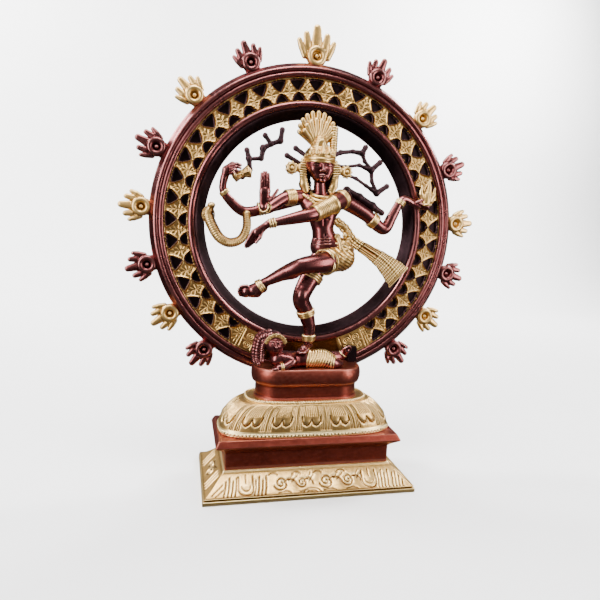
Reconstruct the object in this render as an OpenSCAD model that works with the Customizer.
// Dancing figure in a flaming ring, on a stacked pedestal.
// Millimetres. X to the right, Y to the back, Z up; origin under the middle of the foot.

/* [Base] */
// Width of the skirt's foot
foot_w = 140; // [130:1:150]
// Depth of the skirt's foot
foot_d = 72; // [68:1:80]
// Height of the flared skirt
skirt_h = 15; // [12:0.5:18]
// Width of the plinth's plain neck
neck_w = 111; // [104:1:114]
// Depth of the plinth's plain neck
neck_d = 39; // [37:1:42]
// How far the cornice stands out past the neck
cornice_out = 6.5; // [4:0.5:7]
// Height of the plinth block
plinth_h = 21; // [18:0.5:24]
// Wall of the hollow base castings
base_wall = 3.2; // [2.5:0.1:4]

/* [Pedestal] */
// Width of the lotus pedestal at its bottom edge
lotus_w = 118; // [114:1:122]
// Depth of the lotus pedestal at its bottom edge
lotus_d = 46; // [44:1:48]
// Height of the lotus pedestal
lotus_h = 21; // [18:0.5:24]
// Width of the flat rim on the lotus
rim_w = 83; // [80:1:88]
// Depth of the flat rim on the lotus
rim_d = 38; // [37:0.5:40]
// Width of the oval drum's upper tier
drum_w = 76; // [74:1:78]
// Depth of the oval drum's upper tier
drum_d = 35.4; // [35:0.1:37]
// Height of each of the drum's two tiers
tier_h = 10.5; // [9:0.5:11]

/* [Ring] */
// Height of the ring's centre
ring_z = 173.5; // [172:0.5:176]
// Outer radius of the ring
ring_r = 103.5; // [102:0.5:105]
// Radial width of the outer rim
rim_bar = 7; // [6:0.5:8]
// Radial width of the pierced band
lattice_bar = 15.1; // [14:0.1:16]
// Radial width of the inner bead
bead_bar = 4.2; // [3.5:0.1:5]
// Radial width of the dark sloping lip inside the bead
lip_bar = 6.7; // [5:0.1:8]
// Depth of the ring, front to back
ring_t = 8.5; // [8:0.1:9]
// Y of the ring's front face
ring_y = 9; // [9:0.1:9.5]
// Mean angle between neighbouring piercings
hole_pitch = 8.47; // [8.4:0.01:8.5]
// How much wider the pitch starts right of the top than left of it
pitch_bias = 0.73; // [0:0.01:0.8]
// How the two sides' pitches change towards the bottom
pitch_drift = 0.0415; // [0:0.0005:0.045]

/* [Flames] */
// Angle from the top flame to its neighbours, before the gaps start to close
first_gap = 23.5; // [23:0.1:24]
// How fast the gaps close towards the bottom
gap_closing = 0.47; // [0.4:0.01:0.55]
// Height of a flame above the ring's outer radius
flame_h = 22; // [19:0.5:25]
// Height of the top flame above the ring's outer radius
top_flame_h = 28; // [25:0.5:32]

/* [Fixings] */
// Diameter of the through bolt
bolt_d = 6; // [5:1:8]
// Diameter of the ring's two screws
screw_d = 2.4; // [2:0.2:2.6]

/* [Hidden] */

GOLD = "goldenrod";
COPPER = "sienna";
RED_COPPER = "firebrick";
DARK = "#3a2a2a";
STEEL = "silver";

flames_a_side = 7;

$fn = 64;          // true curves
LIMB_FN = 14;      // spheres inside hulls
STRAND_FN = 10;    // the same for thin strands
seam = 0.1;        // gap where a casting drops into a seat

z_skirt = skirt_h;
z_plinth = z_skirt + plinth_h;
z_lotus = z_plinth + lotus_h;
rim_plate = 1.5;                       // thickness of the flat rim on the lotus
z_rim = z_lotus + rim_plate;
z_tier = z_rim + tier_h;
z_drum = z_tier + tier_h;

r_lattice_out = ring_r - rim_bar;
r_lattice_in = r_lattice_out - lattice_bar;
r_bead_in = r_lattice_in - bead_bar;
r_inner = r_bead_in - lip_bar;
r_flange = ring_r + 2.6;               // the rim's back edge
ring_back = ring_y + ring_t;
lattice_y = ring_y + 1.6;              // the pierced band sits back from the rims
lattice_t = 2.6;

// ---------- helpers ----------

// A right-hand outline, bottom to top, closed by its mirror image
function both(p) = concat(p, [for (i = [len(p) - 1 : -1 : 0]) [-p[i][0], p[i][1]]]);

// Solid with a rectangular plan and mitred corners: one outline along X, one along Y
module mitred(px, py, reach = 400) {
    intersection() {
        rotate([90, 0, 0]) linear_extrude(reach, center = true) polygon(both(px));
        rotate([90, 0, 90]) linear_extrude(reach, center = true) polygon(both(py));
    }
}

// Points of a rounded-rectangle section; the power is 2 for an ellipse and more for a squarer one
function oval(hx, hy, z, power = 2, n = 48) =
    [for (i = [0 : n - 1]) let (a = 360 * i / n, c = cos(a), s = sin(a))
        [hx * sign(c) * pow(abs(c), 2 / power), hy * sign(s) * pow(abs(s), 2 / power), z]];

// Skin over a stack of sections with equal numbers of points
module loft(rings) {
    n = len(rings[0]);
    m = len(rings);
    polyhedron(
        points = [for (r = rings) each r],
        faces = concat(
            [[for (i = [0 : n - 1]) i]],
            [for (k = [0 : m - 2], i = [0 : n - 1]) let (j = (i + 1) % n)
                each [[k * n + i, (k + 1) * n + i, (k + 1) * n + j],
                      [k * n + i, (k + 1) * n + j, k * n + j]]],
            [[for (i = [n - 1 : -1 : 0]) (m - 1) * n + i]]),
        convexity = 4);
}

// Tapered limb between two points, each [x, y, z, radius]
module limb(a, b, n = LIMB_FN) {
    hull() {
        translate([a[0], a[1], a[2]]) sphere(a[3], $fn = n);
        translate([b[0], b[1], b[2]]) sphere(b[3], $fn = n);
    }
}

module chain(pts, n = LIMB_FN) {
    for (i = [0 : len(pts) - 2]) limb(pts[i], pts[i + 1], n);
}

module blob(p) {
    translate([p[0], p[1], p[2]]) sphere(p[3], $fn = 2 * LIMB_FN);
}

// Round band between two points, standing proud of a limb
module band(a, b, r) {
    d = [b[0] - a[0], b[1] - a[1], b[2] - a[2]];
    h = norm(d);
    translate([a[0], a[1], a[2]])
        rotate([0, acos(d[2] / h), atan2(d[1], d[0])]) cylinder(h = h, r = r, $fn = 24);
}

// Turn about the ring's axis: 0 is the top and positive runs clockwise from the front
module around_ring(angle) {
    translate([0, 0, ring_z]) rotate([0, angle, 0]) children();
}

// Solid of revolution about the ring's axis; the outline is [radius, y]
module ring_solid(outline) {
    translate([0, 0, ring_z]) rotate([-90, 0, 0]) rotate_extrude($fn = 128) polygon(outline);
}

// ---------- base ----------

lip_h = 2.4;
groove_top = 3.8;
function flare(hw, run, n = 5) =
    [for (i = [0 : n]) let (t = i / n)
        [hw - 0.5 - run * pow(t, 0.8), groove_top + (skirt_h - groove_top) * t]];
function skirt_side(hw, top) = concat(
    [[hw, 0], [hw, lip_h], [hw - 1.3, lip_h + 0.3], [hw - 1.3, groove_top - 0.3]],
    flare(hw, hw - 0.5 - top));
function tray_side(hw, top) =
    [[hw - base_wall, -1], [hw - base_wall, lip_h], [top - base_wall, skirt_h - base_wall]];

module base_skirt() color(GOLD) {
    difference() {
        mitred(skirt_side(foot_w / 2, neck_w / 2 + 0.5), skirt_side(foot_d / 2, neck_d / 2 + 0.5));
        mitred(tray_side(foot_w / 2, neck_w / 2), tray_side(foot_d / 2, neck_d / 2));
        cylinder(h = 100, d = bolt_d + 0.6, center = true);
    }
}

cornice_z = z_plinth - 3.6;            // height of the cornice's sharp edge
function plinth_side(hw) =
    [[hw, z_skirt], [hw, cornice_z - 6], [hw + 1.2, cornice_z - 4.6],
     [hw + cornice_out, cornice_z - 0.7], [hw + cornice_out, cornice_z],
     [hw + cornice_out - 1.6, z_plinth - 0.8], [hw + cornice_out - 2, z_plinth]];

module plinth_block() color(RED_COPPER) {
    difference() {
        mitred(plinth_side(neck_w / 2), plinth_side(neck_d / 2));
        translate([-neck_w / 2 + base_wall, -neck_d / 2 + base_wall, z_skirt - 1])
            cube([neck_w - 2 * base_wall, neck_d - 2 * base_wall, plinth_h - 2 * base_wall + 1]);
        cylinder(h = 200, d = bolt_d + 0.6, center = true);
    }
}

// ---------- pedestal ----------

bead_h = 3;
bead_out = 0.9;
dome_steps = 7;
dome_power = 3.4;
function dome_ring(t) = let (drop = pow(1 - cos(90 * t), 0.8))
    oval(lotus_w / 2 - (lotus_w - rim_w) / 2 * drop, lotus_d / 2 - (lotus_d - rim_d) / 2 * drop,
         z_plinth + bead_h + (lotus_h - bead_h) * sin(90 * t), dome_power - t * 0.6);

module lotus_pedestal() color(GOLD) {
    difference() {
        loft(concat([oval(lotus_w / 2, lotus_d / 2, z_plinth, dome_power)],
                    [for (i = [0 : dome_steps]) dome_ring(i / dome_steps)]));
        translate([-rim_w / 2 + 6, -rim_d / 2 + 5, z_plinth - 1])
            cube([rim_w - 12, rim_d - 10, lotus_h - base_wall + 1]);
        cylinder(h = 200, d = bolt_d + 0.6, center = true);
    }
}

module lotus_lower_bead() color(GOLD) {
    difference() {
        loft([oval(lotus_w / 2 + 0.3, lotus_d / 2 + 0.3, z_plinth, dome_power),
              oval(lotus_w / 2 + bead_out, lotus_d / 2 + bead_out, z_plinth + 1, dome_power),
              oval(lotus_w / 2 + bead_out, lotus_d / 2 + bead_out, z_plinth + 2, dome_power),
              oval(lotus_w / 2 + 0.3, lotus_d / 2 + 0.3, z_plinth + bead_h, dome_power)]);
        loft([oval(lotus_w / 2, lotus_d / 2, z_plinth - 1, dome_power),
              oval(lotus_w / 2, lotus_d / 2, z_plinth + bead_h + 1, dome_power)]);
    }
}

module lotus_upper_rim() color(GOLD) {
    difference() {
        loft([oval(rim_w / 2 + 0.6, rim_d / 2 + 0.4, z_lotus, 2.8),
              oval(rim_w / 2 + 0.6, rim_d / 2 + 0.4, z_rim, 2.8)]);
        cylinder(h = 200, d = bolt_d + 0.6, center = true);
    }
}

// Stadium-shaped solid: half-turned ends on a straight middle; the outline is [from axis, z]
module stadium(half_w, half_d, outline) {
    straight = half_w - half_d;
    for (side = [0, 180])
        rotate(side) translate([straight, 0, 0]) rotate(-90) rotate_extrude(angle = 180) polygon(outline);
    rotate([90, 0, 90]) linear_extrude(2 * straight, center = true)
        polygon(both([for (p = outline) if (p[0] > 0) p]));
}

neck_in = 2.2;                          // how far the lower tier is set in
function cushion(r) = concat([[0, z_tier]],
    [for (a = [-60 : 20 : 60]) [r - 2.2 + 2.2 * cos(a), z_tier + tier_h / 2 + tier_h / 2 * sin(a) / sin(60)]],
    [[0, z_drum]]);

module ring_seat() {
    translate([0, 0, ring_z]) rotate([-90, 0, 0])
        translate([0, 0, ring_y - seam]) cylinder(h = 60, r = r_flange + seam, $fn = 128);
}

module drum_neck() color(COPPER) {
    r = drum_d / 2 - neck_in;
    difference() {
        stadium(drum_w / 2 - neck_in, r,
                [[0, z_rim], [r, z_rim], [r, z_rim + 1], [r - 0.8, z_rim + 2], [r - 0.8, z_tier - 1.5],
                 [r, z_tier], [0, z_tier]]);
        ring_seat();
        cylinder(h = 2 * z_tier, d = bolt_d, center = true);
    }
}

bolt_top = z_tier - 1;
module drum_cushion() color(COPPER) {
    difference() {
        stadium(drum_w / 2, drum_d / 2, cushion(drum_d / 2));
        ring_seat();
    }
}

// ---------- fixings ----------

plate_z = skirt_h - base_wall;          // underside of the skirt's top plate
washer_t = 1.4;
nut_h = 5;
module through_bolt() color(STEEL) {
    translate([0, 0, plate_z - washer_t - nut_h - 2])
        cylinder(h = bolt_top - plate_z + washer_t + nut_h + 2, d = bolt_d);
}

module bolt_washer() color(STEEL) {
    translate([0, 0, plate_z - washer_t]) difference() {
        cylinder(h = washer_t, r = bolt_d * 1.6);
        translate([0, 0, -1]) cylinder(h = washer_t + 2, d = bolt_d + 0.4);
    }
}

module bolt_nut() color(STEEL) {
    translate([0, 0, plate_z - washer_t - nut_h]) difference() {
        cylinder(h = nut_h, r = bolt_d * 0.95, $fn = 6);
        translate([0, 0, -1]) cylinder(h = nut_h + 2, d = bolt_d);
    }
}

post_x = 34;
post_w = 6.4;
post_top = z_drum + 11;
post_t = 5;
screw_x = 35;
screw_z = ring_z - sqrt(pow(ring_r - rim_bar / 2 - 0.5, 2) - pow(screw_x, 2));
module ring_posts() color(DARK) {
    difference() {
        for (s = [-1, 1])
            translate([s * post_x - post_w / 2, ring_y - post_t, z_drum])
                cube([post_w, post_t, post_top - z_drum]);
        screw_shanks(0);
    }
}

module screw_shanks(gap) {
    for (s = [-1, 1])
        translate([s * screw_x, ring_y - post_t + 1.5, screw_z]) rotate([-90, 0, 0])
            cylinder(h = ring_t + post_t - 1.5, d = screw_d + gap, $fn = 32);
}

module ring_screws() color(STEEL) {
    screw_shanks(0);
    for (s = [-1, 1])
        translate([s * screw_x, ring_back, screw_z]) rotate([-90, 0, 0])
            cylinder(h = 1.4, d = 2 * screw_d, $fn = 32);
}

// ---------- ring ----------

// Two ridges on the front of the rim, then a flank that flares out to the back flange
function rim_outline() = let (m = (ring_r + r_lattice_out) / 2)
    [[r_lattice_out, ring_back], [r_lattice_out, ring_y + 1.2], [r_lattice_out + 0.8, ring_y + 0.3],
     [m - 1.1, ring_y], [m - 0.4, ring_y + 0.7], [m + 0.4, ring_y + 0.7], [m + 1.1, ring_y],
     [ring_r - 0.8, ring_y + 0.3], [ring_r, ring_y + 1.2], [r_flange, ring_y + 4.2],
     [r_flange, ring_back]];
module ring_outer_rim() color(COPPER) {
    difference() {
        ring_solid(rim_outline());
        screw_shanks(0);
    }
}

module ring_inner_bead() color(COPPER) {
    ring_solid([[r_bead_in, ring_back], [r_bead_in, ring_y + 1.4], [r_bead_in + 0.7, ring_y + 0.4],
                [r_bead_in + 1.6, ring_y], [r_lattice_in - 1.6, ring_y], [r_lattice_in - 0.7, ring_y + 0.4],
                [r_lattice_in, ring_y + 1.4], [r_lattice_in, ring_back]]);
}

module ring_inner_lip() color(DARK) {
    ring_solid([[r_bead_in, ring_back], [r_inner, ring_back], [r_inner, ring_back - 1.6],
                [r_bead_in, ring_y + 1.8]]);
}

module ring_web() color(DARK) {
    ring_solid([[r_lattice_in, ring_back], [r_lattice_in, lattice_y + lattice_t],
                [r_lattice_out, lattice_y + lattice_t], [r_lattice_out, ring_back]]);
}

// One pair of piercings on a spoke: a wide one under the rim and a smaller one over the bead,
// each tapering to a blunt end at the waist between them. Outlines are [half width, radius].
waist = r_lattice_in + lattice_bar * 0.43;
outer_piercing = [[0.5, waist + 0.8], [2.6, waist + 3.2], [4.2, waist + 5.4], [4.8, waist + 7],
                  [3.9, r_lattice_out - 1]];
inner_piercing = [[4.2, r_lattice_in + 0.9], [4, r_lattice_in + 1.9], [2.8, r_lattice_in + 4],
                  [1.1, waist - 1]];
module piercing_pair() {
    polygon(both(outer_piercing));
    polygon(both(inner_piercing));
}

last_hole = 17;                         // pairs each side of the top one
function hole_angle(i) = hole_pitch * i + pitch_bias * abs(i) - pitch_drift * i * i;
module ring_lattice() color(GOLD) {
    translate([0, lattice_y + lattice_t, ring_z]) rotate([90, 0, 0]) linear_extrude(lattice_t) difference() {
        circle(r_lattice_out, $fn = 128);
        circle(r_lattice_in, $fn = 128);
        for (i = [-last_hole : last_hole]) rotate(-hole_angle(i)) piercing_pair();
    }
}

// ---------- flames ----------

flame_t = 4;
flame_y = ring_back - flame_t / 2 - 0.3;
disc_r = 6.1;
disc_at = r_flange + disc_r - 1.2;      // radius of the disc's centre
function flame_angle(i) = sign(i) * (first_gap * abs(i) - gap_closing * i * i);

// Blunt finger of flame: its foot's offset, lean, length and half width
module finger(foot, lean, length, w) {
    translate([foot, 0]) rotate(-lean)
        polygon(both([[w, 0], [w, length * 0.65], [w * 0.85, length * 0.9], [w * 0.45, length]]));
}

module flame_outline(h) {
    reach = ring_r + h - disc_at;       // from the disc's centre to the tip
    circle(disc_r);
    translate([-disc_r + 1, -disc_r - 1]) square([2 * disc_r - 2, disc_r + 1]);
    k = h / flame_h;
    finger(0, 0, reach, 2.5 * k);
    for (s = [-1, 1]) {
        finger(s * 4.2 * k, s * 9, reach * 0.76, 1.9 * k);
        finger(s * 6 * k, s * 24, reach * 0.58, 1.4 * k);
    }
}

// A thick disc with a sunk centre and a pip, backed by five fingers of flame, seated on the flange
module flame(index) {
    h = index == 0 ? top_flame_h : flame_h;
    color(index % 2 == 0 ? GOLD : COPPER) difference() {
        around_ring(flame_angle(index)) translate([0, flame_y, disc_at]) rotate([90, 0, 0]) {
            linear_extrude(flame_t, center = true) flame_outline(h);
            difference() {
                cylinder(h = flame_t / 2 + 2.4, r = disc_r);
                translate([0, 0, flame_t / 2]) cylinder(h = 5, r = disc_r * 0.52);
            }
            cylinder(h = flame_t / 2 + 1.6, r = disc_r * 0.22);
        }
        translate([0, 0, ring_z]) rotate([90, 0, 0]) cylinder(h = 60, r = r_flange, center = true, $fn = 128);
    }
}

// ---------- dwarf underfoot ----------

dwarf_seat = z_drum;
module above_drum() {
    intersection() {
        union() children();
        translate([-60, -40, dwarf_seat]) cube([120, 40 + ring_y - seam, 60]);
    }
}

dwarf_trunk = [[-22, -8, 85, 6], [-12, -7, 84, 6], [-2, -6, 83.5, 5.6], [9, -6, 84, 6]];
dwarf_near_arm = [[-19, -10, 86, 3.4], [-12.5, -12, 84, 3], [-18, -14, 81, 2.4], [-23, -14, 80.6, 2.2]];
dwarf_near_leg = [[9, -8, 84, 5], [15, -11, 82, 4.4], [19, -11, 81.5, 3.2]];
dwarf_far_leg = [[11, -5, 84, 4.6], [22, -3, 85, 3.6], [26, -4, 88, 2.8], [26, -8, 91, 2.2]];
module dwarf_body() color(COPPER) {
    above_drum() {
        chain(dwarf_trunk);
        chain(dwarf_near_arm);
        chain(dwarf_near_leg);
        chain(dwarf_far_leg);
    }
}

dwarf_face = [-24.5, -9.5, 95.5, 6.6];
module dwarf_head() color(COPPER) {
    difference() {
        union() {
            blob(dwarf_face);
            limb([-24, -9, 93, 4.6], [-23, -8.5, 89, 4]);
        }
        chain(dwarf_trunk);
    }
}

module dwarf_hair() color(COPPER) {
    above_drum() difference() {
        union() {
            limb([-25, -6.5, 97, 7.4], [-30, -4.5, 97, 6]);
            chain([[-32, -3.5, 99, 4.4], [-34, -3, 92, 4], [-34.5, -3.5, 84, 3.4], [-34, -4.5, 79.5, 3]]);
        }
        blob(dwarf_face);
        limb([-24, -9, 93, 4.6], [-23, -8.5, 89, 4]);
        chain(dwarf_trunk);
        screw_shanks(0);
        translate([-post_x - post_w / 2, ring_y - post_t, z_drum])
            cube([post_w, post_t, post_top - z_drum]);
    }
}

dwarf_cloth = [[0, -6.6, 84.2, 6.2], [9, -7, 84.6, 6.5], [13.5, -9.5, 83, 5.4]];
module dwarf_loincloth() color(GOLD) {
    above_drum() difference() {
        chain(dwarf_cloth);
        chain(dwarf_trunk);
        chain(dwarf_near_leg);
        chain(dwarf_far_leg);
    }
}

// ---------- dancing figure ----------

neck_top = [1.4, -4.6, 203, 4.2];
torso_parts = [[[-6.5, -3, 189.5, 5.2], [13.5, -3, 189.5, 5.2]], [[-3.5, -4, 186, 6.2], [11, -4, 186, 6.2]],
               [[-0.5, -4.4, 184, 6.4], [5.2, -4, 170, 6.4]], [[8.5, -4.4, 184, 6.6], [5.6, -4, 170, 6.4]],
               [[5.4, -4, 170, 6.4], [5.4, -4, 160, 7.4]], [[5.6, -4, 170, 6.4], [12, -4, 159, 8]],
               [[5.4, -4, 160, 7.4], [12, -4, 158, 8.4]], [[2.6, -3.4, 193, 4.6], neck_top]];
module torso_form() {
    for (p = torso_parts) limb(p[0], p[1]);
}

module torso() color(COPPER) {
    torso_form();
}

skull = [0.8, -4.6, 212.5, 9.4];
jaw = [1.4, -6.6, 206, 5.8];
module head_form() {
    hull() {
        blob(skull);
        blob(jaw);
    }
}

module head() color(COPPER) {
    difference() {
        head_form();
        torso_form();
    }
}

crest_c = [-1.2, -3.6, 233.4];
crest_r = 13.2;
crest_t = 6;
module crown_crest() color(GOLD) {
    difference() {
        union() {
            translate(crest_c) rotate([90, 0, 0]) cylinder(h = crest_t, r = crest_r, center = true);
            translate([crest_c[0] - 7, crest_c[1] - crest_t / 2, 221]) cube([16, crest_t, 12]);
            translate([crest_c[0] + 11, crest_c[1], 222]) cylinder(h = 14, r = 2.6);
            translate([0.6, -5, 219]) cylinder(h = 8, r1 = 7.4, r2 = 5);
        }
        crown_ring();
        head_form();
    }
}

module crown_ring() {
    translate([0.8, -4.8, 214.5]) cylinder(h = 7, r1 = 10.6, r2 = 9.2);
}

module crown_band() color(GOLD) {
    difference() {
        crown_ring();
        head_form();
    }
}

module ear_ornaments() color(GOLD) {
    difference() {
        for (s = [-1, 1]) {
            x = skull[0];
            limb([x + s * 10.5, -5, 214, 2.2], [x + s * 10, -5.5, 200, 2.6]);
            limb([x + s * 12, -4.6, 209.5, 2.6], [x + s * 18.5, -4, 209, 3.8]);
            limb([x + s * 10, -5.5, 200, 2.6], [x + s * 9, -6, 196.5, 2.2]);
        }
        head_form();
        torso_form();
        crown_ring();
    }
}

hair_r = 1.5;
module hair_strands_left() color(DARK) {
    chain([[-48, 1, 202, hair_r], [-43, 3, 207, hair_r], [-44, 3, 214, 1.8],
           [-45.4, 3, 219, hair_r]], STRAND_FN);
    chain([[-44, 3, 213.5, 1.2], [-36, 3, 214.5, hair_r], [-35, 3, 221, 2], [-30, 3, 224, hair_r],
           [-34, 3, 229, hair_r]], STRAND_FN);
    chain([[-30, 3, 224, hair_r], [-24, 3, 226.5, 1.8], [-23, 3, 233.5, hair_r]], STRAND_FN);
    chain([[-14, 2, 222.5, hair_r], [-7, -1, 217.5, hair_r]], STRAND_FN);
    chain([[-19.5, 2, 217.5, hair_r], [-8, -1, 211, hair_r]], STRAND_FN);
}

module hair_strands_right() color(DARK) {
    difference() {
        union() {
            chain([[9, -1, 218, hair_r], [16, 1, 222, hair_r], [25, 2, 223.5, 1.3], [32, 3, 223, 2],
                   [34, 3, 227, 1.6]], STRAND_FN);
            chain([[10, -1, 213, 1.3], [20, 1, 213, 1.1], [30, 2, 215, 1.1], [39, 3, 212.5, 2],
                   [45, 3, 218, 1.6]], STRAND_FN);
            chain([[21, -2, 207.5, 1.1], [28, 1, 206, 1.1], [36, 3, 202, 1.1], [44, 3, 197.5, 2],
                   [51, 3, 202.5, 1.6]], STRAND_FN);
            chain([[32, 3, 223, 1.6], [34, 3, 218, 1.2], [39, 3, 212.5, 1.6]], STRAND_FN);
            chain([[39, 3, 212.5, 1.6], [40, 3, 205, 1.2], [44, 3, 197.5, 1.6]], STRAND_FN);
            chain([[22.5, 2.5, 198, 2.4], [31.6, 3, 193.6, 2.8], [41.3, 3, 188.4, 2.8],
                   [48.5, 3, 184.5, 1.8]], STRAND_FN);
        }
        chain(rear_left);
    }
}

module necklace() color(GOLD) {
    difference() {
        translate([2.8, -5.6, 193.6]) rotate([24, 0, 0])
            rotate_extrude($fn = 32) translate([7.2, 0]) circle(1.9, $fn = 16);
        torso_form();
        head_form();
        ear_ornaments();
        front_left_form();
        front_right_form();
    }
}

module belt_ring() {
    translate([6.2, -4, 162.5]) rotate([0, 8, 0]) cylinder(h = 3.6, r = 9);
}

module waist_belt() color(COPPER) {
    difference() {
        belt_ring();
        torso_form();
    }
}

front_left = [[18.5, -4, 192, 5.8], [9.8, -10, 187.4, 5.2], [-3.3, -15.5, 180.8, 4.6], [-13.3, -17.5, 178, 4],
              [-33.5, -18.5, 172.7, 2.5], [-39.7, -17.6, 168.1, 3], [-46.1, -15.6, 157.4, 1.7]];
front_right = [[-10.5, -3.5, 191.5, 4.8], [-21, -7, 190, 4], [-32.5, -11, 182.5, 3.4], [-36.5, -17, 184, 2.7],
               [-36, -18, 191.5, 3.7], [-36.4, -18, 203.5, 2]];
rear_right = [[-10, 1.5, 191, 4.6], [-28, 2.5, 184.5, 3.7], [-44.8, 2.5, 180, 3.4], [-54.8, 1.5, 186, 3],
              [-60, 0.5, 193, 2.7], [-59.2, -0.5, 202, 3.1], [-54, -1.5, 208.8, 2.7]];
rear_left = [[18, 1, 191.8, 5.4], [36, 1.5, 183, 4.6], [50, 2, 173.6, 4], [56, 2, 182.4, 3.4],
             [62.8, 2.5, 194.2, 2.7], [73, 4, 192, 2.5], [83, 5, 189.5, 1.8]];
thumb = [[-35, -17.5, 188, 1.8], [-31, -17, 188.5, 1.5], [-27.5, -17, 194, 1.3]];

module front_left_form() chain(front_left);
module front_right_form() {
    chain(front_right);
    chain(thumb);
}

module front_left_arm() color(COPPER) {
    difference() {
        front_left_form();
        torso_form();
    }
}

module front_right_arm() color(COPPER) {
    difference() {
        front_right_form();
        torso_form();
    }
}

module rear_left_arm() color(COPPER) {
    difference() {
        chain(rear_left);
        torso_form();
        front_left_form();
    }
}

module rear_right_arm() color(COPPER) {
    difference() {
        chain(rear_right);
        torso_form();
        front_right_form();
        front_left_form();
    }
}

// Point a fraction t of the way along a limb, and a band between two such points
function along(a, b, t) = [for (k = [0 : 2]) a[k] + (b[k] - a[k]) * t];
module arm_band(a, b, t0, t1, r) band(along(a, b, t0), along(a, b, t1), r);

module arm_bands() color(GOLD) {
    difference() {
        union() {
            arm_band(front_left[1], front_left[2], 0.05, 0.95, 5.6);
            arm_band(front_left[3], front_left[4], 0.82, 0.95, 3.4);
            arm_band(front_right[0], front_right[1], 0.62, 0.95, 4.9);
            arm_band(rear_left[1], rear_left[2], 0.35, 0.55, 4.4);
            arm_band(rear_left[3], rear_left[4], 0.75, 0.88, 3.2);
            arm_band(rear_right[3], rear_right[4], 0.75, 0.9, 3.2);
        }
        front_left_form();
        front_right_form();
        chain(rear_left);
        chain(rear_right);
    }
}

drum_at = [-48.8, -3, 203.4];
module hand_drum() color(GOLD) {
    difference() {
        translate(drum_at) rotate([0, 70, 0]) {
            cylinder(h = 5.4, r1 = 2.2, r2 = 4.4);
            mirror([0, 0, 1]) cylinder(h = 5.4, r1 = 2.2, r2 = 4.4);
        }
        chain(rear_right);
    }
}

flame_at = [81.5, 5, 195];
module hand_flame() color(GOLD) {
    difference() {
        translate(flame_at) {
            chain([[0, 0, -2, 4], [1, 0, 4, 3.2], [2, 0, 14, 0.8]]);
            limb([-2, 0, 2, 2], [-4, 0, 10, 0.7]);
            limb([4, 0, 2, 2], [6, 0, 9, 0.7]);
        }
        chain(rear_left);
        translate([0, ring_y - seam, flame_at[2] - 40]) cube([200, 60, 80]);
    }
}

snake = [[-44.8, -1, 178.5, 2.8], [-44.6, -2, 170, 2.8], [-48, -2, 162.6, 3], [-55, -2, 160, 3.2],
         [-61.6, -2, 163, 3.5], [-66.5, -1.5, 170.5, 3.9], [-69, -1, 177.5, 3.9], [-67.3, -2.5, 182.4, 2.4]];
module cobra() color(GOLD) {
    difference() {
        chain(snake);
        chain(rear_right);
    }
}

standing = [[5, -3.5, 150, 7.8], [-7.8, -9, 128.5, 5.8], [-4.6, -7, 117.8, 5.4], [-1.2, -6, 107.6, 4.4],
            [-1, -6, 97.5, 3.7], [-2, -7, 93.4, 3.8], [-7.8, -12, 91.4, 2.3]];
raised = [[17.5, -4.5, 153.4, 8.2], [5.4, -14.5, 150.2, 6.6], [-10.3, -19, 147.8, 5.3],
          [-21, -16.5, 142.8, 4.5], [-33, -13.5, 136, 3.1], [-40.2, -12.5, 130.6, 4.6],
          [-47.2, -12.5, 130.3, 3.2]];

module standing_leg() color(COPPER) {
    difference() {
        chain(standing);
        torso_form();
        chain(dwarf_trunk);
        chain(dwarf_cloth);
    }
}

module raised_leg() color(COPPER) {
    difference() {
        chain(raised);
        torso_form();
        chain(standing);
    }
}

module anklets() color(GOLD) {
    difference() {
        union() {
            arm_band(standing[0], standing[1], 0.44, 0.56, 7.7);
            arm_band(standing[2], standing[3], 0.04, 0.34, 6);
            arm_band(standing[3], standing[4], 0.75, 1, 4.6);
            arm_band(raised[4], raised[5], 0.25, 0.55, 4.7);
        }
        chain(standing);
        chain(raised);
    }
}

module loincloth() color(GOLD) {
    difference() {
        chain([[19, -4.2, 158, 8.4], [19, -4.8, 153, 9.4], [11, -10, 151.6, 8.4]]);
        torso_form();
        chain(raised);
        chain(standing);
        belt_ring();
    }
}

// Sash stations: centre, half width across, lean of the edge from vertical
sash_line = [[[14, -1, 178.5], 1.6, 60], [[22, 0.5, 172.5], 2, 50], [[29, 2, 164.5], 2.2, 45],
             [[41, 3.5, 158], 3.2, 40], [[53, 5, 151], 5, 40], [[66, 6.2, 140], 8.5, 42]];
sash_r = 1.3;
module sash_edge(s) {
    for (k = [-1, 1])
        translate(s[0] + k * s[1] * [sin(s[2]), 0, cos(s[2])]) sphere(sash_r, $fn = LIMB_FN);
}

module sash() color(GOLD) {
    difference() {
        for (i = [0 : len(sash_line) - 2]) hull() {
            sash_edge(sash_line[i]);
            sash_edge(sash_line[i + 1]);
        }
        torso_form();
        chain(rear_left);
    }
}

// ---------- assembly ----------

base_skirt();
plinth_block();
lotus_pedestal();
lotus_lower_bead();
lotus_upper_rim();
drum_neck();
drum_cushion();
through_bolt();
bolt_washer();
bolt_nut();
ring_outer_rim();
ring_inner_bead();
ring_inner_lip();
ring_web();
ring_lattice();
ring_posts();
ring_screws();
flame(0);  // flame_top
for (i = [1 : flames_a_side]) {
    flame(-i);
    flame(i);
}
dwarf_body();
dwarf_head();
dwarf_hair();
dwarf_loincloth();
torso();
head();
crown_crest();
crown_band();
ear_ornaments();
hair_strands_left();
hair_strands_right();
necklace();
waist_belt();
loincloth();
sash();
front_left_arm();
front_right_arm();
rear_left_arm();
rear_right_arm();
arm_bands();
hand_drum();
hand_flame();
cobra();
standing_leg();
raised_leg();
anklets();
